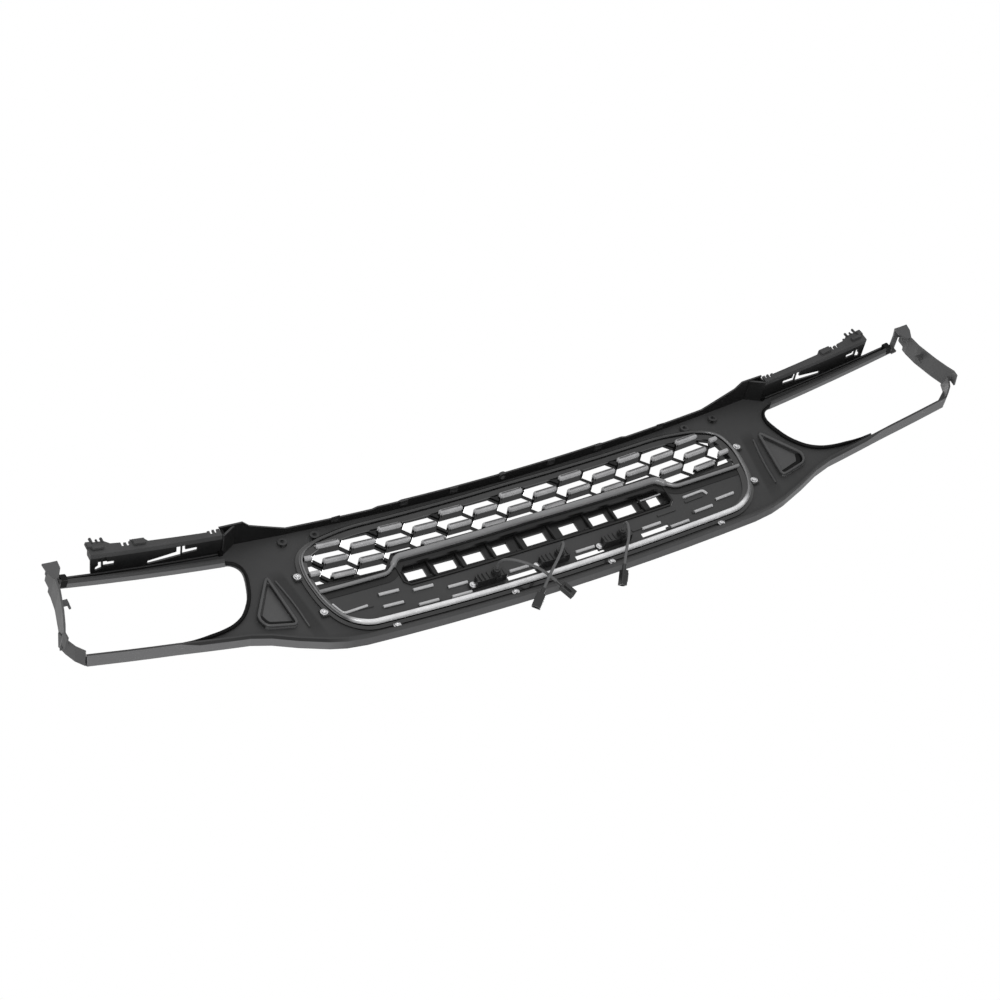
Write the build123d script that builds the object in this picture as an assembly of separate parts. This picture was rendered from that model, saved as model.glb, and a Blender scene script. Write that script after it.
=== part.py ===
from build123d import *
from math import cos, degrees, pi, radians, tan
import os

# Front grille panel of a large passenger car, in millimetres.
# +Z is up, the grille faces -Y, and X runs across the car. The origin is the centre of the
# locating hole in the middle of the top flange. Every piece follows one curved, leaning
# surface, the panel's back surface, and "depth" is how far behind that surface a thing is.

# Driving dimensions of the shared surface
PLAN_RADIUS = 3410.0        # radius of the panel seen from above
LEAN = 5.0                  # degrees that the top leans back
BACK_Y = -10.0              # the back surface on the centre line, level with the origin
SPAN = 840.0                # half width of the stock that the pieces are cut from
STOCK_LOW = -300.0
STOCK_HIGH = 60.0

# Surround panel
WALL = 3.0
TOP_Z = 1.5                 # upper face of the top flange
FLANGE_DEPTH = 17.0
BOTTOM_Z = -226.0
BOTTOM_LIP = 20.0
LAMP_BAR_DEPTH = 13.0
WEB_NEAR = 3.0              # where the upper brackets' webs begin
PLAN_STEP = 20.0            # longest straight side of a plate that follows the curve

# Honeycomb
COLUMN_PITCH = 55.3
ROW_PITCH = 30.0
SLANT_RUN = 13.3
CELL_WALL = 3.0
ARCH = 7.0e-5               # how much the rows drop towards the ends, per mm squared
MESH_FRONT = -12.0
MESH_BACK = -7.0            # the slanted walls are shallow
MARGIN_BACK = 0.0           # rear face of the closed margins
LOUVRE_BACK = 8.0           # the horizontal walls are deep, rounded louvres
LOUVRE_SPAN = 40.0
LOUVRE_HEIGHT = 7.0
LOUVRE_ROUND = 2.5

# Fasteners
SCREW_HOLE = 2.6
SCREW_SHANK = 2.3
SCREW_HEAD = 4.5
LOCATING_HOLE = 4.0
UPPER_HOLE = 3.5
UPPER_HOLES = [(342.0, -17.0), (397.0, -18.0)]
TABS = [(88.0, -209.5), (295.0, -210.5), (392.0, -158.0), (403.0, -86.0)]

# Marker lamps and their pigtails
LAMPS = [("left", 115.0), ("centre", 0.0), ("right", -115.0)]
LAMP_Z = -175.0
CABLE_RADIUS = 2.3
CABLE_SHARE = 0.45          # share of the shorter run that a bend's tangent takes


def back_y(x, z):
    """Y of the panel's back surface."""
    return BACK_Y + x * x / (2 * PLAN_RADIUS) + tan(radians(LEAN)) * z


def skin(front, back):
    """Curved, leaning slab between two depths."""
    def arc(depth):
        end = SPAN * SPAN / (2 * PLAN_RADIUS)
        return ThreePointArc((-SPAN, end + depth), (0, depth), (SPAN, end + depth))
    sides = [Line(arc(front) @ 0, arc(back) @ 0), Line(arc(front) @ 1, arc(back) @ 1)]
    plan = make_face([arc(front), sides[0], arc(back), sides[1]])
    slope = tan(radians(LEAN))
    plan = Pos(0, BACK_Y + slope * STOCK_LOW, STOCK_LOW) * plan
    height = (STOCK_HIGH - STOCK_LOW) / cos(radians(LEAN))
    return extrude(plan, height, dir=(0, slope, 1))


def through(face):
    """Front view face carried through the whole depth of the car."""
    return extrude(Plane.XZ * face, 400, both=True)


def moulding(face, front, back):
    """The part of a slab that a front view face covers."""
    return through(face) & skin(front, back)


def polygon(points, radius=0):
    face = make_face(Polyline(*points, close=True))
    if radius:
        face = fillet(face.vertices(), radius)
    return face


def box_at(x, z, depth, size):
    """Block centred on a front view point, with its centre at a depth."""
    return Pos(x, back_y(x, z) + depth, z) * Box(*size)


def rod_y(x, z, near, far, radius):
    """Round bar along Y between two depths."""
    bar = Rot(90, 0, 0) * Cylinder(radius, far - near)
    return Pos(x, back_y(x, z) + (near + far) / 2, z) * bar


def both_sides(shape):
    return shape + mirror(shape, Plane.YZ)


def save(name, shape):
    solids = shape.solids()
    whole = solids[0] if len(solids) == 1 else Compound(children=list(solids))
    export_step(whole, "parts/" + name + ".step")


# ---------------------------------------------------------------- surround panel

def opening_curve():
    """Inboard end of a headlight opening."""
    points = [(500, -36), (487, -40), (480, -50), (480, -66), (485, -85), (492, -104), (503, -122)]
    points += [(516, -137), (535, -149.5), (560, -157), (590, -161.5), (622, -163)]
    return Spline(*points)


def bottom_line():
    points = [(0, BOTTOM_Z), (352, BOTTOM_Z), (385, -223.5), (411, -218), (455, -204), (492, -190)]
    points += [(523, -183), (633, -175), (764, -169)]
    return Polyline(*points)


def panel_half():
    curve = opening_curve()
    top = Polyline((0, 0), (470, 0), (494, -15), (752, -15), (752, -29), (500, -36))
    tail = Polyline((622, -163), (665, -160), (764, -156), (764, -169))
    return make_face([top, curve, tail, bottom_line(), Line((0, BOTTOM_Z), (0, 0))])


def insert_outline(grow):
    """Front view of the insert, larger than the middle of its rim by grow."""
    half = [(0, -16), (290, -21), (350, -33), (384, -52), (392, -92), (385, -145), (368, -180)]
    half += [(338, -199), (0, -197)]
    left = [(-x, z) for x, z in reversed(half[1:-1])]
    face = fillet(make_face(Polyline(*half, *left, close=True)).vertices(), 12)
    return offset(face, grow) if grow else face


def pocket(grow):
    face = polygon([(450, -77), (494, -146), (488, -163), (440, -171)], 6)
    return offset(face, grow) if grow else face


def plan_plate(outline, low, high):
    """Horizontal plate with corners given by x and depth, its long sides following the curve."""
    points = []
    for (x, depth), (next_x, next_depth) in zip(outline, outline[1:] + outline[:1]):
        steps = max(1, round(abs(next_x - x) / PLAN_STEP))
        for step in range(steps):
            share = step / steps
            at = x + share * (next_x - x)
            points.append((at, back_y(at, 0) + depth + share * (next_depth - depth)))
    return Pos(0, 0, low) * extrude(make_face(Polyline(*points, close=True)), high - low)


def top_flange():
    """Flange behind the panel's upper edge, wide at the shoulders, with its outer end wall."""
    line = [(0, -1), (480, -1), (496, 41), (457, 43.5), (445, 33), (384, 12), (235, 12), (226, 15)]
    line += [(190, 15), (184, FLANGE_DEPTH), (0, FLANGE_DEPTH)]
    wall = moulding(trace(Line((471, -1), (494.5, -15.8)), WALL), -WALL, 41)
    return plan_plate(line, -TOP_Z, TOP_Z) + wall


def surround_panel():
    half = moulding(panel_half(), -WALL, 0)
    half += moulding(trace(bottom_line(), WALL), -WALL, BOTTOM_LIP)
    half += moulding(trace(Line((500, -36), (752, -29)), WALL), -WALL, LAMP_BAR_DEPTH)
    half += moulding(trace(Line((497, -16.5), (752, -16.5)), WALL), -WALL, WEB_NEAR)
    half += moulding(trace(opening_curve(), 2.4), -WALL, 4)
    half += moulding(pocket(1.5) - pocket(-1.5), -1, 6)
    half += top_flange()
    for x, z in UPPER_HOLES:
        half += rod_y(x, z, -WALL, 5, UPPER_HOLE + 4)
    body = both_sides(half) - through(insert_outline(5.0))
    body += Cylinder(LOCATING_HOLE + 4, 6)
    body -= Cylinder(LOCATING_HOLE, 20)
    for x, z in UPPER_HOLES:
        body -= both_sides(rod_y(x, z, -30, 30, UPPER_HOLE))
    for x, z in TABS:
        body -= both_sides(rod_y(x, z, -30, 0.5, SCREW_HOLE))
    return body


# ---------------------------------------------------------------- headlight surround ends

END_TAPER = 0.15            # how much an end frame narrows inboard, per mm of depth
END_Y = 76.0                # where the end frame's front view is true
END_NEAR = 3.0              # depths of the end frame's front and rear edges
END_FAR = 45.0


def tapered(face, front, back):
    """Moulding whose front view shifts inboard as it goes rearwards."""
    shifted = Pos(END_TAPER * END_Y, 0, 0) * (Plane.XZ * face)
    return extrude(shifted, 400, dir=(-END_TAPER, 1, 0), both=True) & skin(front, back)


def end_frame():
    """Tapered plate that closes a headlight opening outboard, with its ear and lower return."""
    line = [(771, -24), (770, -48), (772, -72), (780, -108), (787, -132), (792, -146), (791, -156)]
    half = tapered(trace(Polyline(*line), WALL), END_NEAR, END_FAR)
    half -= moulding(polygon([(762, 0), (800, 0), (800, -38), (762, -38)]), -10, 11)
    half -= moulding(polygon([(762, -142), (805, -142), (805, -175), (762, -175)]), -10, 21)
    half += tapered(trace(Line((757, -22), (773, -24)), WALL), 22, END_FAR)
    ear = [(757, -21), (781, -23), (779, -36), (772, -50), (765, -50), (757, -34)]
    half += tapered(polygon(ear), END_FAR - WALL, END_FAR)
    half += moulding(trace(Line((754, -21.5), (764, -23)), WALL), -WALL, END_FAR - 8)
    foot = trace(Polyline((789, -130), (784, -144), (776, -158), (765, -168)), WALL)
    half += moulding(foot, -WALL, 27)
    half += moulding(polygon([(752.2, -20), (762, -20), (762, -33), (752.2, -33)]), -WALL, 0)
    half += moulding(polygon([(764.2, -156), (785, -142), (776, -158), (764.2, -170)]), -WALL, 0)
    return half


def end_clip():
    """Small hook on the inner face of an end frame."""
    arm = box_at(763.6, -84, 30, (10.4, 3, 10))
    barb = box_at(759.9, -90, 30, (3, 3, 10))
    return arm + barb


# ---------------------------------------------------------------- upper brackets

# Open slots of a bracket's web, each with a notch at one end, as x and depth
SLOTS = [
    [(613, 3.4), (613, 10), (568, 20), (568, 30), (561, 30), (561, 11)],
    [(559, 30), (554, 30), (554, 22), (535, 23), (535, 15.5), (559, 13)],
    [(693, 5), (693, 12), (688.5, 16), (688.5, 28), (683.5, 28), (683.5, 9)],
    [(681, 31), (676, 31), (675, 21), (664, 21), (664, 13.5), (681, 13)],
]


def upper_bracket():
    """Stepped, slotted carrier over a headlight opening."""
    web = moulding(polygon([(496.4, -15), (700, -15), (700, -12), (496.4, -12)]), WEB_NEAR + 0.2, 41)
    for slot in SLOTS:
        web -= plan_plate(slot, -40, 20)
    top = [(496.4, -15), (496.4, -2), (501, -2), (501, -8), (504.5, -8), (504.5, -2), (508, -2), (508, -9)]
    top += [(512, -9), (512, -3), (516, -3), (516, -5), (608, -3), (612, 2), (634, 4), (634, 1), (637, 1)]
    top += [(637, -6), (641, -6), (641, 0), (645, 0), (645, -6), (649, -6), (649, 1), (664, 2), (672, 8)]
    top += [(696, 8), (700, -3), (700, -15)]
    back = polygon(top)
    body = web + moulding(back, 37, 41)
    body += plan_plate([(612, 26), (632, 26), (632, 38), (612, 38)], -12.5, 2)
    body += plan_plate([(668, 20), (698, 20), (698, 38), (668, 38)], -12.5, 4)
    for x in (520, 576, 600, 645):
        body += plan_plate([(x, 24), (x + 2.5, 24), (x + 2.5, 38), (x, 38)], -12.5, -4)
    return body


def bracket_pins():
    """Push pins on the outer end of a bracket."""
    pins = []
    for x, depth in ((675, 28), (690, 33)):
        y = back_y(x, 0) + depth
        pin = Pos(x, y, 8.5) * Cylinder(2.4, 9)
        pins.append(pin + Pos(x, y, 12) * Cone(3.4, 1.2, 5))
    return Compound(children=pins)


# ---------------------------------------------------------------- insert

def cell(column, z, wall):
    """Flat-topped hexagonal hole of the honeycomb, half a wall smaller all round."""
    x = column * COLUMN_PITCH
    z -= ARCH * x * x
    edge = (COLUMN_PITCH - SLANT_RUN) / 2
    tip = edge + SLANT_RUN
    rise = ROW_PITCH / 2
    points = [(x + tip, z), (x + edge, z + rise), (x - edge, z + rise)]
    points += [(x - tip, z), (x - edge, z - rise), (x + edge, z - rise)]
    return offset(polygon(points), -wall / 2, kind=Kind.INTERSECTION)


def cells(wall):
    """Front view of all the open cells, with walls of a given width between them."""
    holes = Sketch()
    for column in range(-7, 8):
        for z in ((-48, -78) if column % 2 == 0 else (-34, -64, -94)):
            closed = z == -94 and abs(column) < 5
            if not closed:
                holes += cell(column, z, wall)
    return holes


def louvres():
    """Rounded bars that stand on the horizontal walls between the cells."""
    length = LOUVRE_BACK - MESH_BACK + 2
    bar = Box(LOUVRE_SPAN, length, LOUVRE_HEIGHT)
    rear = bar.faces().sort_by(Axis.Y)[-1]
    bar = fillet(rear.edges(), LOUVRE_ROUND)
    bars = []
    for column in range(-7, 8):
        x = column * COLUMN_PITCH
        for z in ((-33, -63) if column % 2 == 0 else (-49, -79)):
            z += (LOUVRE_HEIGHT - CELL_WALL) / 2 - ARCH * x * x
            place = Pos(x, back_y(x, z) + LOUVRE_BACK - length / 2, z)
            bars.append(place * Rot(0, 0, degrees(x / PLAN_RADIUS)) * bar)
    return bars


def mesh_zone():
    """Front view of the honeycomb, above the shelf."""
    half = [(0, -14), (290, -19), (348, -31), (380, -52), (386, -80), (384, -108), (262, -108)]
    half += [(240, -82), (0, -80)]
    left = [(-x, z) for x, z in reversed(half[1:-1])]
    return polygon(half + left)


def honeycomb():
    """Shallow hexagonal mesh with deep louvres, moulded in one with its closed margins."""
    zone = mesh_zone() & insert_outline(-0.8)
    inner = offset(zone, -2.5, kind=Kind.INTERSECTION)
    margin = zone - (cells(-1) & inner)
    mesh = zone - (cells(CELL_WALL) & inner)
    body = moulding(mesh, MESH_FRONT, MESH_BACK) + moulding(margin, MESH_FRONT, MARGIN_BACK)
    keep = moulding(inner & insert_outline(-5.5), MESH_FRONT - 5, LOUVRE_BACK + 5)
    for bar in louvres():
        body += bar & keep
    return body


RIM_LIP = 7.2               # depth where the rim laps over the insert


def insert_rim():
    """Rounded lip round the insert, with its screw tabs."""
    ring = moulding(insert_outline(4.6) - insert_outline(-5), RIM_LIP, 13)
    ring += moulding(insert_outline(4.6) - insert_outline(-0.5), MESH_FRONT, RIM_LIP + 1)
    for x, z in TABS:
        up = 13 if z < -200 else 5
        tab = both_sides(moulding(Pos(x, z + up / 2 - 3) * RectangleRounded(14, 14 + up, 3), 0.3, 3))
        ring += tab
        ring -= both_sides(rod_y(x, z, -30, 30, SCREW_HOLE))
    core = insert_outline(-5)
    return ring - moulding(core, -60, 60)


def shelf_line(shift):
    middle = [(0, -86), (238, -91), (250, -104), (264, -115), (380, -121)]
    return [(x, z + shift) for x, z in middle]


def shelf_bar():
    """Ledge under the honeycomb, lower at its two ends."""
    upper = shelf_line(3)
    lower = shelf_line(-5)
    half = polygon(upper + lower[::-1])
    face = (half + mirror(half, Plane.YZ)) & insert_outline(-5.2)
    ledge = moulding(face, -6, 9)
    return ledge - through(mesh_zone())


WINDOWS = [(-222, 22), (-168, 38), (-118, 30), (-62, 30), (0, 38), (62, 26), (112, 34), (163, 36), (218, 36)]
WINDOW_Z = -117.5


def bar_zone():
    half = [(0, -91.5), (236, -96.5), (247, -106), (247, -138), (238, -146), (0, -142)]
    left = [(-x, z) for x, z in reversed(half[1:-1])]
    return polygon(half + left)


def window_bar():
    """Recessed bar with a row of plain rectangular windows."""
    face = bar_zone()
    for x, width in WINDOWS:
        face -= Pos(x, WINDOW_Z - ARCH * x * x) * Rectangle(width, 19)
    for x in (-200, -140, -80, 80, 140, 200):
        face -= Pos(x, -136.5 - ARCH * x * x / 2) * Rectangle(20, 3)
    frame = moulding(face, -14, -10)
    rail = moulding(bar_zone() - offset(bar_zone(), -3), -14, 2)
    return frame + rail


LOWER_CELLS = [(60, -180), (-64, -181), (-188, -180)]
DASHES = [(168, -167), (223, -156), (223, -184), (280, -149), (280, -173), (330, -165)]


def lower_panel():
    """Closed panel under the bar, with moulded dashes and open cells below the lamps."""
    half = [(0, -142.5), (238, -146.5), (247.5, -138), (247.5, -109.8), (266, -122.5), (390, -128.5)]
    half += [(390, -200), (0, -200)]
    left = [(-x, z) for x, z in reversed(half[1:-1])]
    face = polygon(half + left) & insert_outline(-5.3)
    dashes = Sketch()
    for x, z in DASHES:
        dashes += Pos(x, z) * Rectangle(34, 4)
        dashes += Pos(-x, z) * Rectangle(34, 4)
    for x, z in LOWER_CELLS:
        face -= Pos(x, z) * Rectangle(52, 9)
    body = moulding(face, -3, 0) + moulding(dashes, -0.5, 1.6)
    for x, z in lamp_screw_places():
        body -= rod_y(x, z, -10, 10, SCREW_HOLE)
    return body


def screws(places, depth):
    """Pan head screws driven forwards, each a separate solid."""
    group = []
    for x, z in places:
        shank = rod_y(x, z, depth - 15, depth + 0.5, SCREW_SHANK)
        head = rod_y(x, z, depth + 0.05, depth + 3.2, SCREW_HEAD)
        group.append(fillet((shank + head).faces().sort_by(Axis.Y)[-1].edges(), 1.0))
    return Compound(children=group)


# ---------------------------------------------------------------- marker lamps

LAMP_WIDTH = 52.0
LAMP_HEIGHT = 16.0
LAMP_EAR = 31.5             # from the lamp's middle to its screw


def lamp_z(x):
    return LAMP_Z - ARCH * x * x


def lamp_housing(x):
    z = lamp_z(x)
    shell = box_at(x, z, 9, (LAMP_WIDTH, 14, LAMP_HEIGHT))
    shell = fillet(shell.edges().filter_by(Axis.Y), 3)
    shell -= box_at(x, z, 5.9, (LAMP_WIDTH - 4, 14, LAMP_HEIGHT - 4))
    ear = box_at(x + LAMP_EAR - 0.2, z - 2, 3.6, (13, 3, 13))
    socket = rod_y(x - 8, z, 15.7, 22, 8)
    hole = rod_y(x + LAMP_EAR, z - 2, -20, 30, SCREW_HOLE)
    return shell + ear + socket - hole - rod_y(x - 8, z, 17, 23, 6.2)


def lamp_lens(x):
    lens = box_at(x, lamp_z(x), 3.4, (LAMP_WIDTH - 4.4, 2.2, LAMP_HEIGHT - 4.4))
    return fillet(lens.edges().filter_by(Axis.Y), 1.5)


def lamp_board(x):
    """Circuit board with three light chips, sealed inside the housing."""
    board = box_at(x, lamp_z(x), 11, (LAMP_WIDTH - 6, 1.6, LAMP_HEIGHT - 5))
    chip = box_at(x, lamp_z(x), 9.6, (3.5, 1.2, 3))
    return board + Pos(-14, 0, 0) * chip + chip + Pos(14, 0, 0) * chip


def lamp_plug(x):
    """Bulb-holder style plug pressed into the socket, where the cable leaves."""
    cap = rod_y(x - 8, lamp_z(x), 17.1, 26, 6.1)
    return fillet(cap.faces().sort_by(Axis.Y)[-1].edges(), 1.5)


def lamp_screw_places():
    return [(x + LAMP_EAR, lamp_z(x) - 2) for name, x in LAMPS]


# Each route is a list of (x, depth, z) from the plug to the connector.
ROUTES = {
    "left": [(107, 26, -175.9), (107, 44, -175.9), (94, 58, -190), (72, 56, -205), (50, 46, -217),
             (36, 38, -237)],
    "centre": [(-8, 26, -175), (-8, 44, -175), (0, 56, -190), (20, 58, -210), (44, 52, -228),
               (64, 42, -245)],
    "right": [(-123, 26, -175.9), (-123, 44, -175.9), (-118, 56, -190), (-108, 55, -211), (-94, 46, -228),
              (-84, 36, -244)],
}


def route_points(side):
    return [Vector(x, back_y(x, z) + depth, z) for x, depth, z in ROUTES[side]]


def cable(side):
    """Round cable along straight runs and tangent bends, with its bend radii printed."""
    points = route_points(side)
    radii = []
    for before, here, after in zip(points, points[1:], points[2:]):
        first = here - before
        second = after - here
        half_turn = radians(first.get_angle(second)) / 2
        radii.append(CABLE_SHARE * min(first.length, second.length) / tan(half_turn))
    path = FilletPolyline(*points, radius=radii)
    start = Plane(origin=path @ 0, z_dir=path % 0)
    tube = sweep(start * Circle(CABLE_RADIUS), path=path)
    section = pi * CABLE_RADIUS ** 2
    print(side, "cable length", round(path.length, 1), "radii", [round(r, 1) for r in radii],
          "volume ratio", round(tube.volume / (section * path.length), 4))
    return tube


def connector(side):
    """Two-way connector on the end of a pigtail, in line with the cable."""
    points = route_points(side)
    along = (points[-1] - points[-2]).normalized()
    frame = Plane(origin=points[-1], z_dir=along)
    tail = frame * Pos(0, 0, 5) * Cylinder(3.6, 10)
    body = frame * Pos(0, 0, 21.9) * Box(14, 10, 24)
    body = fillet(body.edges().filter_by(lambda e: abs((e % 0.5).dot(along)) > 0.99), 1.5)
    mouth = frame * Pos(0, 0, 30) * Box(10.4, 6.4, 18)
    latch = frame * Pos(0, 6.2, 20) * Box(5, 2.4, 14)
    return tail + body + latch - mouth


def connector_pins(side):
    """Terminal block with two blades inside a connector."""
    points = route_points(side)
    along = (points[-1] - points[-2]).normalized()
    frame = Plane(origin=points[-1], z_dir=along)
    block = frame * Pos(0, 0, 22.6) * Box(10, 6, 3)
    for step in (-2.4, 2.4):
        block += frame * Pos(step, 0, 27.5) * Box(1.6, 0.8, 7)
    return block


# ---------------------------------------------------------------- clips

def top_clips():
    """Steel spring clips pushed on to the top flange's rear edge."""
    clips = []
    for x in (-300, -180, -90, 90, 180, 300):
        near = back_y(x, 0) + 6
        far = back_y(x, 0) + 17
        leaf = Pos(x, (near + far) / 2, -2.25) * Box(14, far - near, 1.1)
        clips.append(leaf + Pos(x, near + 3, -3.2) * Box(8, 2, 1.8))
    return Compound(children=clips)


os.makedirs("parts", exist_ok=True)

save("surround_panel", surround_panel())
for name, make in (("end_frame", end_frame), ("end_clip", end_clip),
                   ("upper_bracket", upper_bracket), ("bracket_pins", bracket_pins)):
    piece = make()
    save("left_" + name, piece)
    save("right_" + name, mirror(piece, Plane.YZ))

save("honeycomb", honeycomb())
save("insert_rim", insert_rim())
save("shelf_bar", shelf_bar())
save("window_bar", window_bar())
save("lower_panel", lower_panel())
save("insert_screws", screws([(side * x, z) for x, z in TABS for side in (1, -1)], 3))
save("lamp_screws", screws(lamp_screw_places(), 5.2))
save("top_clips", top_clips())

for side, x in LAMPS:
    save(side + "_lamp_housing", lamp_housing(x))
    save(side + "_lamp_lens", lamp_lens(x))
    save(side + "_lamp_board", lamp_board(x))
    save(side + "_lamp_plug", lamp_plug(x))
    save(side + "_cable", cable(side))
    save(side + "_connector", connector(side))
    save(side + "_connector_pins", connector_pins(side))
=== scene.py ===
import bmesh
import bpy
import math
import random
from mathutils import Matrix, Vector


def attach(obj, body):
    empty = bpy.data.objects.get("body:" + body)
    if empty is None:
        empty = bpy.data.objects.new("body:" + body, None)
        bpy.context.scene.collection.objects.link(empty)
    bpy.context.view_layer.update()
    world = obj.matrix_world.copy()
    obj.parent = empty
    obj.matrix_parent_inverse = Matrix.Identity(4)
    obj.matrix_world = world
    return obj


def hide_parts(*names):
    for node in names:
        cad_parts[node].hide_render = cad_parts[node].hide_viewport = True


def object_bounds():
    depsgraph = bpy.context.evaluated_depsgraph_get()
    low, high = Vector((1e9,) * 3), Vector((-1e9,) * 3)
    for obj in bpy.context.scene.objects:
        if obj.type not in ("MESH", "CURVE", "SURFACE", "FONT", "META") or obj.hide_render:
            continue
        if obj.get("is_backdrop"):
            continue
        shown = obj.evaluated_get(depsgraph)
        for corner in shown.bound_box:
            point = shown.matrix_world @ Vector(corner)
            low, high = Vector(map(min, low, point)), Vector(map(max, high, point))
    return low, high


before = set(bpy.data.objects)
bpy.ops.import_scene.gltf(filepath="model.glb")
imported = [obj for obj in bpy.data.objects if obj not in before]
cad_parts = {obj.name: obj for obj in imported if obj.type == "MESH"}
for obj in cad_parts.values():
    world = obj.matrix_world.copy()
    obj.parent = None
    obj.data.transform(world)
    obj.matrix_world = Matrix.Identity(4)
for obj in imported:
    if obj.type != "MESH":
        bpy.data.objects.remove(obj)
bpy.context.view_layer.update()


# ---- View and light
# The grille is looked at from behind and below, as it would hang on a stand. The room is a
# plain white studio: an even white surround and two soft panels.

MM = 0.001
bpy.context.scene.view_settings.view_transform = "Standard"
AZIMUTH, ELEVATION, ROLL = math.radians(148.3), math.radians(-34.62), math.radians(-35.65)
DISTANCE = 3.2237
ASIDE = Vector((-0.00188, -0.0312, DISTANCE))
LOOKED_AT = Vector((0, -10 * MM, 0))
LIGHT_AIM = Vector((0, 0, -0.1))

towards = Vector((math.sin(AZIMUTH) * math.cos(ELEVATION), -math.cos(AZIMUTH) * math.cos(ELEVATION),
                  math.sin(ELEVATION)))
level = Vector((0, 0, 1)).cross(towards).normalized()
upright = towards.cross(level)
right = math.cos(ROLL) * level + math.sin(ROLL) * upright
above = -math.sin(ROLL) * level + math.cos(ROLL) * upright
turn = Matrix((right, above, towards)).transposed()

lens = bpy.data.cameras.new("studio_camera")
lens.lens = 72
lens.sensor_width = 36
lens.clip_end = 200
camera = bpy.data.objects.new("studio_camera", lens)
place = turn @ ASIDE + LOOKED_AT
camera.matrix_world = Matrix.Translation(place) @ turn.to_4x4()
bpy.context.scene.collection.objects.link(camera)
bpy.context.scene.camera = camera

surround = bpy.data.worlds.new("white_studio")
surround.use_nodes = True
surround.node_tree.nodes["Background"].inputs["Color"].default_value = (1, 1, 1, 1)
surround.node_tree.nodes["Background"].inputs["Strength"].default_value = 1.0
bpy.context.scene.world = surround


def soft_panel(name, spot, aim, size, watts):
    """Square soft light that looks from one point to another."""
    light = bpy.data.lights.new(name, "AREA")
    light.size = size
    light.energy = watts
    lamp = bpy.data.objects.new(name, light)
    towards_aim = (aim - spot).to_track_quat("-Z", "Y").to_matrix().to_4x4()
    lamp.matrix_world = Matrix.Translation(spot) @ towards_aim
    bpy.context.scene.collection.objects.link(lamp)


soft_panel("key_panel", Vector((1.0, 2.2, -2.0)), LIGHT_AIM, 1.0, 45)
soft_panel("front_panel", Vector((-1.2, -2.4, 1.4)), LIGHT_AIM, 1.4, 40)


# ---- Surround panel
# One wide injection moulding in black polypropylene. Its back is dull and finely grained; the
# outboard undersides of its returns are the smooth show side, painted lighter grey as a painted sheen,
# and its channels and the underside of its top flange are painted near black as painted shade.

PLAN_RADIUS = 3410.0
LEAN = math.tan(math.radians(5.0))
BACK_Y = -10.0
FACES_DOWN = -0.6
LIP_TOP, FLANGE_BOTTOM = -0.140, -0.025
BAR_START, BAR_TOP, BAR_BOTTOM, BAR_DEPTH = 0.49, -0.028, -0.06, 0.0065


class Wire:
    """One socket of a finish: arithmetic on wires adds Math nodes."""

    def __init__(self, finish, socket):
        self.finish = finish
        self.socket = socket

    def maths(self, operation, other, swapped=False):
        pair = (other, self) if swapped else (self, other)
        return self.finish.node("ShaderNodeMath", {"operation": operation}, {0: pair[0], 1: pair[1]})

    def __add__(self, other):
        return self.maths("ADD", other)

    def __sub__(self, other):
        return self.maths("SUBTRACT", other)

    def __rsub__(self, other):
        return self.maths("SUBTRACT", other, True)

    def __mul__(self, other):
        return self.maths("MULTIPLY", other)

    def __truediv__(self, other):
        return self.maths("DIVIDE", other)

    def __rtruediv__(self, other):
        return self.maths("DIVIDE", other, True)

    def __gt__(self, other):
        return self.maths("GREATER_THAN", other)

    def __lt__(self, other):
        return self.maths("LESS_THAN", other)

    __radd__ = __add__
    __rmul__ = __mul__


class Finish:
    """A material's node tree. Its node method adds any node with its settings and inputs."""

    def __init__(self, name):
        self.material = bpy.data.materials.new(name)
        self.material.use_nodes = True
        self.tree = self.material.node_tree
        self.tree.nodes.clear()

    def node(self, kind, settings=None, inputs=None, out=0):
        made = self.tree.nodes.new(kind)
        for key, value in (settings or {}).items():
            setattr(made, key, value)
        for key, value in (inputs or {}).items():
            if isinstance(value, Wire):
                self.tree.links.new(value.socket, made.inputs[key])
            else:
                made.inputs[key].default_value = value
        return Wire(self, made.outputs[out])

    def place(self, kind="Object"):
        """Wires for the object coordinates or the normal: the vector and its X, Y and Z."""
        spot = self.node("ShaderNodeTexCoord", out=kind)
        parts = self.tree.nodes.new("ShaderNodeSeparateXYZ")
        self.tree.links.new(spot.socket, parts.inputs[0])
        return [spot] + [Wire(self, parts.outputs[axis]) for axis in range(3)]

    def depth(self, x, y, z):
        """Metres behind the panel's back surface."""
        return y - x * x / (2 * PLAN_RADIUS * MM) - z * LEAN - BACK_Y * MM

    def noise(self, spot, scale, detail=3.0):
        return self.node("ShaderNodeTexNoise", None, {"Vector": spot, "Scale": scale, "Detail": detail})

    def blend(self, factor, first, second):
        """Colour between two colours or wires."""
        return self.node("ShaderNodeMix", {"data_type": "RGBA"}, {0: factor, 6: first, 7: second}, out=2)

    def clip(self, value):
        return self.node("ShaderNodeClamp", None, {0: value})

    def bump(self, height, strength, distance=0.0004):
        inputs = {"Height": height, "Strength": strength, "Distance": distance}
        return self.node("ShaderNodeBump", None, inputs)

    def surface(self, **inputs):
        named = {key.replace("_", " "): value for key, value in inputs.items()}
        shader = self.node("ShaderNodeBsdfPrincipled", None, named)
        out = self.tree.nodes.new("ShaderNodeOutputMaterial")
        self.tree.links.new(shader.socket, out.inputs["Surface"])
        return self.material


def grey(value):
    return (value, value, value * 1.01, 1)


def paint(node, material):
    """Puts a finish on a CAD node that keeps its own shape."""
    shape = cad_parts[node]
    for slot in shape.material_slots:
        slot.material = material
    if not shape.material_slots:
        shape.data.materials.append(material)


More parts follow.
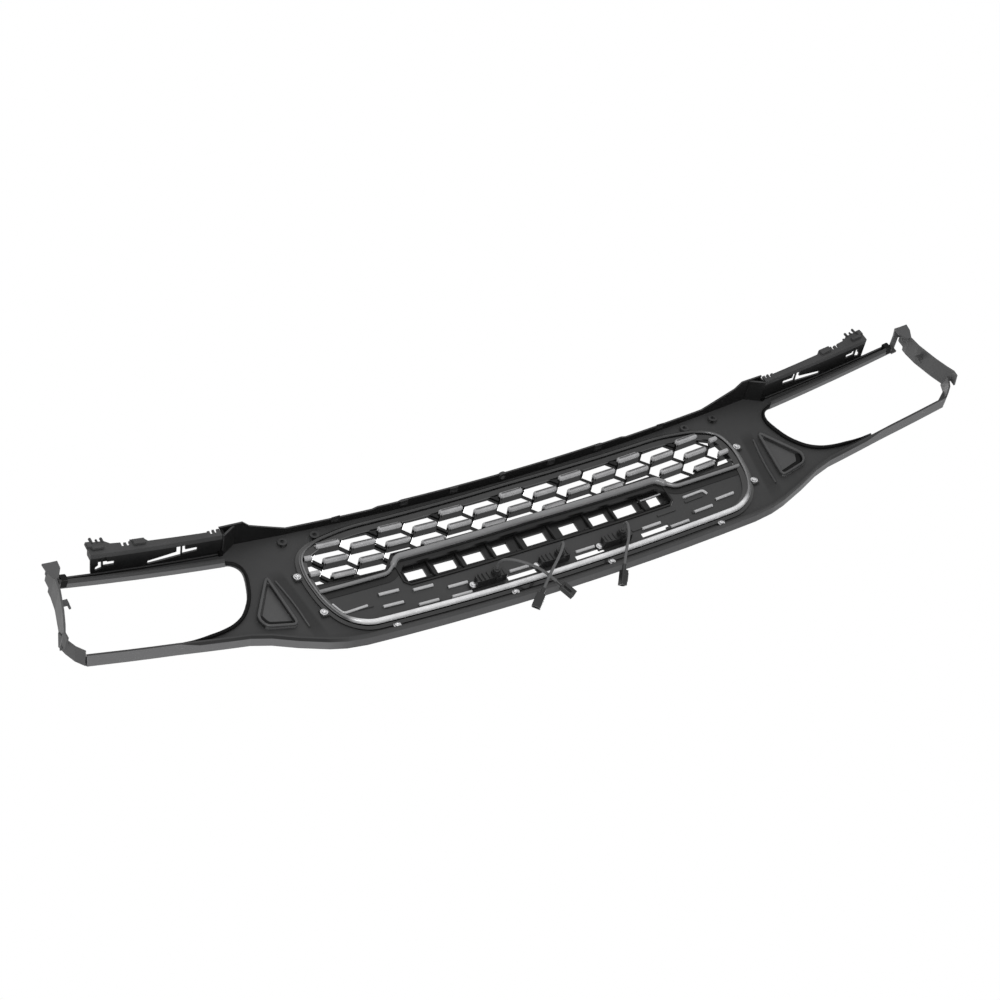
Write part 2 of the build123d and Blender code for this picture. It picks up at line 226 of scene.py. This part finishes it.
def panel_finish():
    """Dull moulding with painted sheen on the downward faces of its lips and bars, and painted shade in its
    hollows and under its top flange.
    """
    finish = Finish("grained_panel")
    spot, x, y, z = finish.place()
    up = finish.place("Normal")[3]
    depth = finish.depth(x, y, z)
    reach = x * x
    down = up < FACES_DOWN
    lip = down * (z < LIP_TOP)
    bar = down * (reach > BAR_START ** 2) * (z < BAR_TOP) * (z > BAR_BOTTOM)
    bar = bar * finish.clip((BAR_DEPTH - depth) / 0.001)
    flange = down * (z > FLANGE_BOTTOM)
    far = finish.clip((reach - 0.36) / 0.06)
    inside = finish.clip((0.0135 + far * 0.012 - depth) / 0.0015)
    outboard = finish.clip((reach - 0.14) / 0.035)
    # Painted sheen: the downward faces of the bottom lip's front part and of the bars beside the headlight
    # openings are painted lighter grey, most strongly outboard.
    painted_sheen = finish.clip(lip * inside * (0.35 + outboard * 0.65) + bar)
    # Painted shadow: a soft darker band inboard of each pocket's ridge line, on the back surface of the
    # wings.
    wing = finish.node("ShaderNodeMath", {"operation": "ABSOLUTE"}, {0: x}) - z * 0.15 - 0.4425
    wing_shadow_band = finish.clip(1.6 - (wing * wing) / 0.00011) * finish.clip((-0.062 - z) / 0.02)
    painted_wing_shadow = wing_shadow_band * finish.clip((z + 0.205) / 0.03) * (depth > -0.001) * (depth < 0.001)
    # Painted shade: the underside of the top flange, the rear part of the bottom lip's underside and the wing
    # band are painted near black.
    painted_shade = finish.clip(flange + lip * (1.0 - inside) * outboard + painted_wing_shadow * 0.55)
    cloud = finish.noise(spot, 7.0, 4.0)
    grain = finish.noise(spot, 1100.0, 2.0)
    rub = finish.noise(spot, 45.0, 5.0)
    tone = finish.blend(cloud, grey(0.020), grey(0.033))
    tone = finish.blend(painted_sheen, tone, grey(0.105))
    tone = finish.blend(painted_shade, tone, grey(0.003))
    roughness = finish.clip(0.46 + rub * 0.14)
    return finish.surface(Base_Color=tone, Roughness=roughness, Specular_IOR_Level=0.32,
                          Normal=finish.bump(grain, 0.1))


paint("surround_panel", panel_finish())


# ---- Returns of the headlight openings
# A bead down the inboard edge of each headlight opening and out along its lower bar,
# where it thins away, painted near black as painted shade along the opening's edge. It follows the panel's
# curved back, as most of the mouldings do.

def on_skin(x, z, depth):
    """Point in metres from front view millimetres and the depth behind the panel's back."""
    return Vector((x, BACK_Y + x * x / (2 * PLAN_RADIUS) + LEAN * z + depth, z)) * MM


def rounded(corners, radius, closed=True, steps=6):
    """Front view path with its corners rounded."""
    path = []
    count = len(corners)
    for number, corner in enumerate(corners):
        here = Vector(corner)
        if not closed and number in (0, count - 1):
            path.append(here)
            continue
        before = Vector(corners[number - 1]) - here
        after = Vector(corners[(number + 1) % count]) - here
        reach = min(radius, 0.48 * before.length, 0.48 * after.length)
        start, end = here + before.normalized() * reach, here + after.normalized() * reach
        for step in range(steps + 1):
            t = step / steps
            path.append(start * (1 - t) ** 2 + here * 2 * t * (1 - t) + end * t * t)
    return path


def fine(path, closed, pitch=12.0):
    """The same path with long straights divided, so that it follows the curved surface."""
    dense = []
    pairs = list(zip(path, path[1:] + path[:1]))
    for here, after in (pairs if closed else pairs[:-1]):
        steps = max(1, round((after - here).length / pitch))
        dense += [here.lerp(after, step / steps) for step in range(steps)]
    return dense if closed else dense + [path[-1]]


def sweep(bm, path, section, closed, growth=lambda point: 1.0, depth=0.0):
    """Cross-section of (across, depth) pairs along a front view path, capped when open."""
    rings = []
    count = len(path)
    for number, here in enumerate(path):
        before = path[number - 1] if closed or number else here
        after = path[(number + 1) % count] if closed or number < count - 1 else here
        along = (after - before).normalized()
        across = Vector((along.y, -along.x))
        size = growth(here)
        ring = []
        for side, back in section:
            spot = here + across * side * size
            ring.append(bm.verts.new(on_skin(spot.x, spot.y, depth + back * size)))
        rings.append(ring)
    for number in range(count if closed else count - 1):
        one, two = rings[number], rings[(number + 1) % count]
        for corner in range(len(section)):
            following = (corner + 1) % len(section)
            bm.faces.new((one[corner], one[following], two[following], two[corner]))
    if not closed:
        bm.faces.new(rings[0][::-1])
        bm.faces.new(rings[-1])


def circle(radius, count=12, flat=1.0):
    """Round or flattened cross-section."""
    turns = [2 * math.pi * number / count for number in range(count)]
    return [(radius * math.cos(turn), flat * radius * math.sin(turn)) for turn in turns]


def piece(name, bm, material, slot, *nodes, smooth=True):
    """Turns a bmesh into a finished piece that rides with the grille and may replace CAD nodes."""
    bmesh.ops.recalc_face_normals(bm, faces=bm.faces[:])
    mesh = bpy.data.meshes.new(name)
    bm.to_mesh(mesh)
    bm.free()
    return finished(name, mesh, material, slot, *nodes, smooth=smooth)


def finished(name, mesh, material, slot, *nodes, smooth=True):
    shape = bpy.data.objects.new(name, mesh)
    bpy.context.scene.collection.objects.link(shape)
    if not mesh.materials:
        mesh.materials.append(material)
    if smooth:
        mesh.shade_smooth()
        mesh.set_sharp_from_angle(angle=math.radians(40))
    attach(shape, "root")
    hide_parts(*nodes)
    return shape


def moulded(name, dark, light, rough, grain=0.25, grain_scale=900.0, **fixed):
    """Moulded plastic: cloudy tone, fine spark-erosion grain, faint rub marks on the gloss."""
    finish = Finish(name)
    spot = finish.place()[0]
    cloud = finish.noise(spot, 9.0, 4.0)
    pits = finish.noise(spot, grain_scale, 2.0)
    rub = finish.noise(spot, 55.0, 5.0)
    tone = finish.blend(cloud, grey(dark), grey(light))
    roughness = finish.clip(rough - 0.08 + rub * 0.16)
    return finish.surface(Base_Color=tone, Roughness=roughness, Normal=finish.bump(pits, grain), **fixed)


# Near black used as painted shade: on the opening returns, the channel strips and the strips under the
# pockets.
painted_shade_black = moulded("painted_shade_black", 0.003, 0.006, 0.5, Specular_IOR_Level=0.1)
OPENING = [(500, -36), (487, -40), (480, -50), (480, -66), (485, -85), (492, -104), (503, -122),
           (516, -137), (535, -149.5), (560, -157), (590, -161.5), (622, -163)]
BEAD_END, BEAD_TAPER, BEAD_LEAST, BEAD_DEPTH = 634, 60, 0.1, 2.6


def bead_growth(point):
    """Full size inboard, thinning towards the outboard end."""
    return min(1.0, max(BEAD_LEAST, (BEAD_END - abs(point.x)) / BEAD_TAPER))


returns = bmesh.new()
for side in (1, -1):
    edge = [(side * (x + 1.5 * (z > -60) - 3.0), z) for x, z in OPENING]
    path = fine(rounded(edge, 12, False), False)
    sweep(returns, path, circle(2.7, 12, 1.3), False, bead_growth, BEAD_DEPTH)
piece("opening_returns", returns, painted_shade_black, "panel_plastic")


# ---- Channel shade strips
# Near-black strips and blocks between the top flange's shoulders, the bars over the headlight
# openings and the upper brackets, with a block at each bar's outboard end: painted shade in that channel.

SHADE_STRIP_START, SHADE_STRIP_END, SHADE_STRIP_Z = 496, 700, -14.6
SHADE_STRIP_SECTION = [(-1.0, 0.2), (1.0, 0.2), (1.0, 4.6), (-1.0, 4.6)]
SHADE_BLOCKS = ((495.5, -8, 19, (3.4, 42, 15), 0.8), (498, -16, 3.5, (8, 9, 7), 1.0),
               (745, -24, 5, (12, 15, 15), 1.5))


def block(bm, x, z, depth, size, bevel=0.6, segments=2):
    """Rounded block centred on a front view point, turned square to the curved surface."""
    made = bmesh.ops.create_cube(bm, size=1.0)["verts"]
    matrix = Matrix.Translation(on_skin(x, z, depth)) @ Matrix.Rotation(x / PLAN_RADIUS, 4, "Z")
    matrix = matrix @ Matrix.Diagonal((size[0] * MM, size[1] * MM, size[2] * MM, 1))
    bmesh.ops.transform(bm, matrix=matrix, verts=made)
    edges = {edge for vert in made for edge in vert.link_edges}
    bmesh.ops.bevel(bm, geom=list(edges), offset=bevel * MM, segments=segments, affect="EDGES")


# Near-black strips and blocks standing in for the shade in the channel.
channel_shade = bmesh.new()
for side in (1, -1):
    strip = [Vector((side * SHADE_STRIP_START, SHADE_STRIP_Z)), Vector((side * SHADE_STRIP_END, SHADE_STRIP_Z))]
    sweep(channel_shade, fine(strip, False), SHADE_STRIP_SECTION, False)
    for x, z, depth, size, bevel in SHADE_BLOCKS:
        block(channel_shade, side * x, z, depth, size, bevel)
piece("channel_seals", channel_shade, painted_shade_black, "panel_plastic")


# ---- Pockets of the wings
# A raised triangular pocket on each wing, with a rounded outline and a thin ridge inboard of it, both
# painted lighter grey as a painted sheen, a near-black strip of painted shade along its lower side, and a
# lighter floor.

# Lighter grey for a painted sheen on the pocket outlines and ridges.
painted_sheen_edge = moulded("painted_sheen_edge", 0.035, 0.055, 0.4, Specular_IOR_Level=0.4)
POCKET = ((450, -77), (494, -146), (488, -163), (440, -171))
SHADOW_LINE = ((489, -142), (483, -158), (446, -165))
RIDGE = ((438, -84), (428, -130), (424, -176))
INSET = ((452, -88), (488, -146), (484, -152), (444, -160))
INSET_DEPTHS = (-0.4, 0.9)


def on_side(side, corners):
    return [(side * x, z) for x, z in corners]


outline = bmesh.new()
pocket_shadow = bmesh.new()
floor_pad = bmesh.new()
for side in (1, -1):
    sweep(outline, fine(rounded(on_side(side, POCKET), 9), True), circle(2.4, 10), True, depth=5.4)
    # A flat near-black strip along the pocket's lower side, painted shade.
    low = fine(rounded(on_side(side, SHADOW_LINE), 8, False), False)
    sweep(pocket_shadow, low, circle(5.2, 10, 0.4), False, depth=0.6)
    ridge = fine(rounded(on_side(side, RIDGE), 30, False), False)
    sweep(outline, ridge, circle(1.6, 8), False, depth=0.4)
    inset = rounded(on_side(side, INSET), 5)
    rings = [[floor_pad.verts.new(on_skin(spot.x, spot.y, depth)) for spot in inset]
             for depth in INSET_DEPTHS]
    for number in range(len(inset)):
        following = (number + 1) % len(inset)
        floor_pad.faces.new((rings[0][number], rings[0][following], rings[1][following], rings[1][number]))
    for ring in rings:
        floor_pad.faces.new(ring)
piece("pocket_outlines", outline, painted_sheen_edge, "panel_plastic")
piece("pocket_grooves", pocket_shadow, painted_shade_black, "panel_plastic")
piece("pocket_floors", floor_pad, moulded("pocket_floor", 0.032, 0.046, 0.5), "panel_plastic")


# ---- End frames
# Separate satin mouldings that close the headlight openings outboard, each with a small hooked
# clip. How the real ones are fixed can't be seen, so no fixing is modelled.

end_finish = moulded("satin_end_frame", 0.038, 0.068, 0.5, 0.08, Specular_IOR_Level=0.4)
for side in ("left", "right"):
    paint(side + "_end_frame", end_finish)
    paint(side + "_end_clip", end_finish)


# ---- Upper brackets
# Glass filled nylon carriers over the headlights: matt grey behind, with the downward faces of the lower web
# painted near black as painted shade, and small lugs and strips on their backs.

WEB_DEPTH = 0.032
LUG_DEPTH = 40
LUGS = ((690, 11, (4, 4, 12)), (682, 9, (3, 4, 8)), (674, 10, (4, 4, 10)), (696, 3, (9, 6, 12)))
STRIPS = ((685, -4, 42.4, (20, 3, 8)), (622, -3, 42.0, (20, 3, 12)))


def bracket_body():
    finish = Finish("nylon_bracket")
    spot, x, y, z = finish.place()
    up = finish.place("Normal")[3]
    cloud = finish.noise(spot, 14.0, 5.0)
    grain = finish.noise(spot, 900.0, 2.0)
    rub = finish.noise(spot, 60.0, 5.0)
    # Painted shade: downward faces forward of the web's rear edge are painted near black.
    painted_web_shade = (up < FACES_DOWN) * (finish.depth(x, y, z) < WEB_DEPTH)
    tone = finish.blend(cloud, grey(0.02), grey(0.05))
    tone = finish.blend(painted_web_shade, tone, grey(0.003))
    roughness = finish.clip(0.5 + rub * 0.16)
    return finish.surface(Base_Color=tone, Roughness=roughness, Specular_IOR_Level=0.3,
                          Normal=finish.bump(grain, 0.3))


bracket_finish = bracket_body()
for side in ("left", "right"):
    paint(side + "_upper_bracket", bracket_finish)
    paint(side + "_bracket_pins", bracket_finish)

lugs = bmesh.new()
for side in (1, -1):
    for x, z, size in LUGS:
        block(lugs, side * x, z, LUG_DEPTH, size, 1.0)
    for x, z, depth, size in STRIPS:
        block(lugs, side * x, z, depth, size, 1.2)
piece("bracket_lugs", lugs, bracket_finish, "panel_plastic")


# ---- Honeycomb
# Shallow hexagonal mesh moulded in one with deep rounded louvres. The louvres' rear halves are
# bare satin plastic, painted light grey here as a painted highlight, and everything further forward is
# sprayed gloss black from the outside, its black also standing in for the shade on their undersides.

LOUVRE_SIZE, LOUVRE_BEVEL, LOUVRE_DROP = (43, 17.5, 9.6), 4.2, 2.4
COLUMNS, COLUMN_PITCH = 6, 55.3
EVEN_ROWS, ODD_ROWS, END_ROW = (-33, -63), (-49, -79), -93
DROOP = 7e-5


def copies(name, pattern, spots, turns, material, slot, *nodes):
    """Places copies of one mesh with a Geometry Nodes tree: a point for each, with its turn."""
    tree = bpy.data.node_groups.new(name + "_tree", "GeometryNodeTree")
    face = tree.interface
    face.new_socket("Geometry", in_out="INPUT", socket_type="NodeSocketGeometry")
    inner = face.new_socket("Pattern", in_out="INPUT", socket_type="NodeSocketObject").identifier
    finish = face.new_socket("Finish", in_out="INPUT", socket_type="NodeSocketMaterial").identifier
    face.new_socket("Geometry", in_out="OUTPUT", socket_type="NodeSocketGeometry")
    add, link = tree.nodes.new, tree.links.new
    source, out = add("NodeGroupInput"), add("NodeGroupOutput")
    info, turn = add("GeometryNodeObjectInfo"), add("GeometryNodeInputNamedAttribute")
    turn.data_type = "FLOAT_VECTOR"
    turn.inputs["Name"].default_value = "turn"
    convert, place_them = add("FunctionNodeEulerToRotation"), add("GeometryNodeInstanceOnPoints")
    realize, paint_them = add("GeometryNodeRealizeInstances"), add("GeometryNodeSetMaterial")
    link(source.outputs["Pattern"], info.inputs["Object"])
    link(turn.outputs["Attribute"], convert.inputs["Euler"])
    link(source.outputs["Geometry"], place_them.inputs["Points"])
    link(info.outputs["Geometry"], place_them.inputs["Instance"])
    link(convert.outputs["Rotation"], place_them.inputs["Rotation"])
    link(place_them.outputs["Instances"], realize.inputs["Geometry"])
    link(realize.outputs["Geometry"], paint_them.inputs["Geometry"])
    link(source.outputs["Finish"], paint_them.inputs["Material"])
    link(paint_them.outputs["Geometry"], out.inputs["Geometry"])

    points = bpy.data.meshes.new(name + "_points")
    points.from_pydata([tuple(spot) for spot in spots], [], [])
    points.attributes.new("turn", "FLOAT_VECTOR", "POINT").data.foreach_set(
        "vector", [value for turn_of in turns for value in turn_of])
    stand = bpy.data.objects.new(name + "_stand", points)
    model = bpy.data.objects.new(name + "_pattern", pattern)
    for shape in (stand, model):
        bpy.context.scene.collection.objects.link(shape)
    modifier = stand.modifiers.new("copies", "NODES")
    modifier.node_group = tree
    modifier[inner] = model
    modifier[finish] = material
    ready = stand.evaluated_get(bpy.context.evaluated_depsgraph_get())
    mesh = bpy.data.meshes.new_from_object(ready)
    stand.modifiers.clear()
    for shape in (stand, model):
        bpy.data.objects.remove(shape)
    return finished(name, mesh, material, slot, *nodes)


def mesh_finish():
    """Satin at the back of each louvre, painted light as a painted highlight, gloss black further forward
    that also stands in for shade, dark at the very tips.
    """
    finish = Finish("grille_mesh")
    spot, x, y, z = finish.place()
    depth = finish.depth(x, y, z)
    # Painted light: the rear of each louvre and mesh wall is painted light grey as a painted highlight, and
    # the part further forward near black, which is both the gloss black paint and painted shade.
    highlit_rear = finish.clip((depth - 0.0015) / 0.002)
    tip = finish.clip((depth - 0.008) / 0.0015)
    rub = finish.noise(spot, 60.0, 4.0)
    grain = finish.noise(spot, 1200.0, 2.0)
    highlight_satin = finish.blend(rub, grey(0.2), grey(0.42))
    highlight_satin = finish.blend(tip, highlight_satin, grey(0.06))
    tone = finish.blend(highlit_rear, grey(0.003), highlight_satin)
    roughness = finish.clip(0.18 + highlit_rear * 0.08 + rub * 0.12)
    return finish.surface(Base_Color=tone, Roughness=roughness, Specular_IOR_Level=0.3,
                          Normal=finish.bump(grain, 0.15, 0.0003))


mesh_material = mesh_finish()
paint("honeycomb", mesh_material)

louvre = bmesh.new()
block(louvre, 0, 0, 0, LOUVRE_SIZE, LOUVRE_BEVEL, 5)
louvre.transform(Matrix.Translation((0, -BACK_Y * MM, 0)))
louvre_mesh = bpy.data.meshes.new("louvre_pattern")
louvre.to_mesh(louvre_mesh)
louvre.free()
louvre_spots, louvre_turns = [], []
for column in range(-COLUMNS, COLUMNS + 1):
    x = column * COLUMN_PITCH
    rows = EVEN_ROWS if column % 2 == 0 else ODD_ROWS
    for z in rows + ((END_ROW,) if abs(column) == COLUMNS else ()):
        louvre_spots.append(on_skin(x, z + LOUVRE_DROP - DROOP * x * x, 1.0))
        louvre_turns.append((0, 0, x / PLAN_RADIUS))
copies("louvre_bars", louvre_mesh, louvre_spots, louvre_turns, mesh_material, "mesh_black")


# ---- Window bar
# Gloss black bar with plain windows, braced from the front by small stays and a thin rail.

STAYS = (-246, -198, -143, -96, -30, 30, 82, 138, 190, 238)
RAIL_END, RAIL_Z, RAIL_DEPTH = 243, -133, -8.6

window_black = moulded("window_bar_black", 0.004, 0.009, 0.3, Specular_IOR_Level=0.3)
paint("window_bar", window_black)

stays = bmesh.new()
for x in STAYS:
    block(stays, x, -118, -7.6, (4, 5, 34), 1.0)
    block(stays, x + 7, -131, -8.2, (9, 3, 4), 0.8)
rail = fine([Vector((-RAIL_END, RAIL_Z)), Vector((RAIL_END, RAIL_Z))], False)
sweep(stays, rail, circle(2.0, 8), False, depth=RAIL_DEPTH)
piece("window_stays", stays, window_black, "mesh_black")


# ---- Insert rim
# Glossy rolled lip round the insert, heavier along the bottom, with its closed wall in front
# and eight screw tabs. Its colour holds a painted highlight along the bottom, a painted sheen at the sides
# and painted shade elsewhere, with a strip of painted shade outside it.

RIM_CORNERS = [(0, -16), (290, -21), (350, -33), (384, -52), (392, -92), (385, -145), (368, -180),
               (338, -199)]
RIM_SLIM, RIM_HEAVIER, RIM_LOW, RIM_BLEND = 0.26, 0.38, -166, 28.0
# The last section is a near-black strip of painted shade just outside the rim, where the recess round it
# falls in shadow.
RIM_WALLS_AND_SHADE_STRIP = ([(-4.4, -12), (-0.8, -12), (-0.8, 7.6), (-4.4, 7.6)],
             [(-4.4, 3.0), (9.0, -0.5), (9.0, 2.0), (-4.4, 6.0)],
             [(-9.5, 0.2), (-2.0, 0.2), (-2.0, 5.0), (-9.5, 2.2)])
TABS = [(88, -209.5), (295, -210.5), (392, -158), (403, -86)]


def rim_finish():
    finish = Finish("gloss_rim")
    spot, x, y, z = finish.place()
    depth = finish.depth(x, y, z)
    rub = finish.noise(spot, 40.0, 5.0)
    # Painted light: below the top, the back of the tube is painted lighter grey as a painted sheen and the
    # rest black as painted shade; along the bottom a painted highlight makes the tube's back near white.
    low = finish.clip((-0.034 - z) / 0.03) * finish.clip((depth - 0.0072) / 0.0008)
    bottom_highlight = finish.clip((-0.182 - z) / 0.012)
    tone = finish.blend(low, grey(0.006), finish.blend(rub, grey(0.09), grey(0.16)))
    tone = finish.blend(bottom_highlight * low, tone, finish.blend(rub, grey(0.42), grey(0.72)))
    return finish.surface(Base_Color=tone, Roughness=finish.clip(0.14 + rub * 0.14), Coat_Weight=0.5,
                          Specular_IOR_Level=0.5)


gloss = rim_finish()


def rim_growth(point):
    """Rim size: slim at the top and sides, heavy along the bottom."""
    low = min(1.0, max(0.0, (RIM_LOW - point.y) / RIM_BLEND))
    return RIM_SLIM + RIM_HEAVIER * low


rim = bmesh.new()
outline = RIM_CORNERS + [(-x, z) for x, z in RIM_CORNERS[:0:-1]]
ring = fine(rounded(outline, 26, steps=8), True)
sweep(rim, ring, circle(6.2, 16), True, rim_growth, 8.6)
for section in RIM_WALLS_AND_SHADE_STRIP:
    sweep(rim, ring, section, True)
for side in (1, -1):
    for x, z in TABS:
        up = 10 if z < -200 else 3
        block(rim, side * x, z + up / 2 - 2, 1.7, (13, 2.6, 13 + up), 1.0)
piece("rolled_rim", rim, gloss, "gloss_black", "insert_rim")


# ---- Shelf bar
# Satin ledge under the honeycomb, a broad half round in the middle and a slim line outboard.

SHELF = [(0, -87), (238, -92), (250, -105), (264, -117), (384, -122)]
SHELF_BROAD, SHELF_SLIM = 252, 0.55
SHELF_WALL = [(-14, -6), (8, -6), (8, 0.6), (-14, 0.6)]
shelf_satin = moulded("shelf_satin", 0.12, 0.2, 0.24, 0.1)


def shelf_growth(point):
    return 1.0 if abs(point.x) < SHELF_BROAD else SHELF_SLIM


shelf = bmesh.new()
line = fine(rounded(SHELF[::-1] + [(-x, z) for x, z in SHELF[1:]], 8, False), False)
sweep(shelf, line, circle(5.0, 14, 1.2), False, shelf_growth, 4.0)
piece("shelf_ledge", shelf, shelf_satin, "mesh_black", "shelf_bar")
shelf_wall = bmesh.new()
sweep(shelf_wall, line, SHELF_WALL, False)
piece("shelf_wall", shelf_wall, window_black, "mesh_black")


# ---- Lower panel and its pads
# Dull closed panel with short raised bars, two angled ones in the corners and a thin hook behind the bar
# above, all painted light grey as a painted highlight for the light on their rounded backs.

paint("lower_panel", moulded("insert_panel", 0.02, 0.032, 0.42, Specular_IOR_Level=0.35))

PADS = ((279, -149), (223, -156), (282, -172), (227, -184), (168, -167), (170, -186), (-232, -184),
        (-284, -173), (-330, -165), (-60, -172), (-186, -170), (60, -170))
PAD_HALF = 17
BENT_PADS = ([(373, -147), (364, -167), (322, -163)], [(-265, -140), (-303, -140), (-306, -149)])

pads = bmesh.new()
for x, z in PADS:
    bar = fine([Vector((x - PAD_HALF, z)), Vector((x + PAD_HALF, z))], False)
    sweep(pads, bar, circle(2.5, 10), False, depth=1.4)
for bent in BENT_PADS:
    sweep(pads, fine(rounded(bent, 6, False), False), circle(2.1, 10), False, depth=1.2)
hook = fine([Vector((-196, -112)), Vector((-240, -112))], False)
sweep(pads, hook, circle(1.2, 8), False, depth=-9.0)
# Light grey on the pads and hook is a painted highlight.
piece("panel_pads", pads, moulded("painted_highlight_pads", 0.3, 0.42, 0.25, 0.08), "insert_panel")


# ---- Screws
# Zinc plated pan head screws with a washer face and a hexagon drive, through the rim's tabs
# and the lamps' ears.

SCREW_PROFILE = [(0.0, 1.2), (1.5, 1.2), (1.5, 3.4), (2.9, 3.2), (4.1, 2.4), (4.5, 1.0), (4.5, 0.7),
                 (6.0, 0.6), (6.0, 0.0), (2.2, 0.0), (2.0, -11.0), (0.0, -13.5)]
SCREW_SIDES = 18
LAMPS = {"left": 115, "centre": 0, "right": -115}
LAMP_Z, EAR_ASIDE, EAR_DROP = -175, 31.5, 2
RIM_SEAT, EAR_SEAT = 3.1, 5.3


def screw_mesh():
    """Turned profile of radius and height pairs, from the drive to the point."""
    bm = bmesh.new()
    rings = []
    turns = [2 * math.pi * number / SCREW_SIDES for number in range(SCREW_SIDES)]
    for radius, height in SCREW_PROFILE:
        if radius == 0.0:
            rings.append([bm.verts.new((0, height * MM, 0))] * SCREW_SIDES)
        else:
            rings.append([bm.verts.new((radius * MM * math.cos(t), height * MM, radius * MM * math.sin(t)))
                          for t in turns])
    for one, two in zip(rings, rings[1:]):
        for number in range(SCREW_SIDES):
            following = (number + 1) % SCREW_SIDES
            corners = list(dict.fromkeys((one[number], one[following], two[following], two[number])))
            bm.faces.new(corners)
    bmesh.ops.recalc_face_normals(bm, faces=bm.faces[:])
    mesh = bpy.data.meshes.new("screw_pattern")
    bm.to_mesh(mesh)
    bm.free()
    return mesh


chance = random.Random(7)
zinc = moulded("zinc_screw", 0.55, 0.75, 0.28, 0.1, 1500.0, Metallic=1.0)
lamp_z = {side: LAMP_Z - DROOP * x * x for side, x in LAMPS.items()}
rim_spots = [on_skin(side * x, z, RIM_SEAT) for x, z in TABS for side in (1, -1)]
lamp_spots = [on_skin(x + EAR_ASIDE, lamp_z[side] - EAR_DROP, EAR_SEAT) for side, x in LAMPS.items()]
copies("rim_screws", screw_mesh(), rim_spots, [(0, chance.uniform(0, 6), 0) for spot in rim_spots], zinc,
       "screw_metal", "insert_screws")
copies("ear_screws", screw_mesh(), lamp_spots, [(0, chance.uniform(0, 6), 0) for spot in lamp_spots], zinc,
       "screw_metal", "lamp_screws")


# ---- Top clips
# Small spring clips of phosphated steel, pushed on the edge of the top flange.

paint("top_clips", moulded("phosphated_steel", 0.05, 0.09, 0.4, 0.2, 1500.0, Metallic=0.8))


# ---- Marker lamps
# Three black lamps under the window bar, each with a ribbed back, a clear lens, a small board
# and the plug of its lead.

RIB_STEPS = (-20, -12, 6, 14, 21)

lamp_black = moulded("lamp_black", 0.008, 0.018, 0.36, Specular_IOR_Level=0.4)
lens_clear = moulded("lamp_lens_clear", 0.2, 0.3, 0.08)
board = moulded("lamp_board", 0.03, 0.05, 0.4)
for side in ("left", "centre", "right"):
    paint(side + "_lamp_housing", lamp_black)
    paint(side + "_lamp_plug", lamp_black)
    paint(side + "_lamp_lens", lens_clear)
    paint(side + "_lamp_board", board)
    paint(side + "_connector", lamp_black)
    paint(side + "_connector_pins", zinc)

ribs = bmesh.new()
for side, x in LAMPS.items():
    for step in RIB_STEPS:
        block(ribs, x + step, lamp_z[side], 16.4, (2, 2.4, 13), 0.5)
    block(ribs, x + 29, lamp_z[side] - EAR_DROP, 6.0, (3, 4, 11), 0.5)
    block(ribs, x - 8, lamp_z[side] - 9.6, 12, (11, 9, 3.4), 0.8)
piece("lamp_ribs", ribs, lamp_black, "lamp_plastic")


# ---- Pigtail cables
# Two-core leads in a soft black sleeve, one from each marker lamp. They hang free behind the
# lower edge, each ending in its moulded connector. Routes are given as x, depth and z.

CABLE_DIAMETER = 4.6
ROUTES = {
    "left": [(107, 26, -175.9), (107, 44, -175.9), (94, 58, -190), (72, 56, -205), (50, 46, -217),
             (36, 38, -237)],
    "centre": [(-8, 26, -175), (-8, 44, -175), (0, 56, -190), (20, 58, -210), (44, 52, -228), (64, 42, -245)],
    "right": [(-123, 26, -175.9), (-123, 44, -175.9), (-118, 56, -190), (-108, 55, -211), (-94, 46, -228),
              (-84, 36, -244)],
}
sleeve = moulded("cable_sleeve", 0.05, 0.08, 0.6, 0.5, 700.0)

for side, route in ROUTES.items():
    line = bpy.data.curves.new(side + "_pigtail", "CURVE")
    line.dimensions = "3D"
    line.bevel_depth = CABLE_DIAMETER / 2 * MM
    line.bevel_resolution = 5
    line.resolution_u = 10
    line.use_fill_caps = True
    spline = line.splines.new("NURBS")
    spline.points.add(len(route) - 1)
    for point, (x, depth, z) in zip(spline.points, route):
        point.co = (*on_skin(x, z, depth), 1)
    spline.order_u = 3
    spline.use_endpoint_u = True
    pigtail = bpy.data.objects.new(side + "_pigtail", line)
    bpy.context.scene.collection.objects.link(pigtail)
    line.materials.append(sleeve)
    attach(pigtail, "root")
    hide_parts(side + "_cable")
    x, depth, z = route[0]
    tuple(on_skin(x, z, depth))


# ---- Floor
# A plain pale studio floor, well below the stand.

REACH, FLOOR_Z = 40.0, -2.3
floor_mesh = bpy.data.meshes.new("studio_floor")
corners = [(-REACH, -REACH), (REACH, -REACH), (REACH, REACH), (-REACH, REACH)]
floor_mesh.from_pydata([(x, y, FLOOR_Z) for x, y in corners], [], [(0, 1, 2, 3)])
floor = bpy.data.objects.new("studio_floor", floor_mesh)
bpy.context.scene.collection.objects.link(floor)
floor_mesh.materials.append(moulded("pale_floor", 0.78, 0.82, 0.7, 0.02, 40.0))
floor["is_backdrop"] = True

low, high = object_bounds()
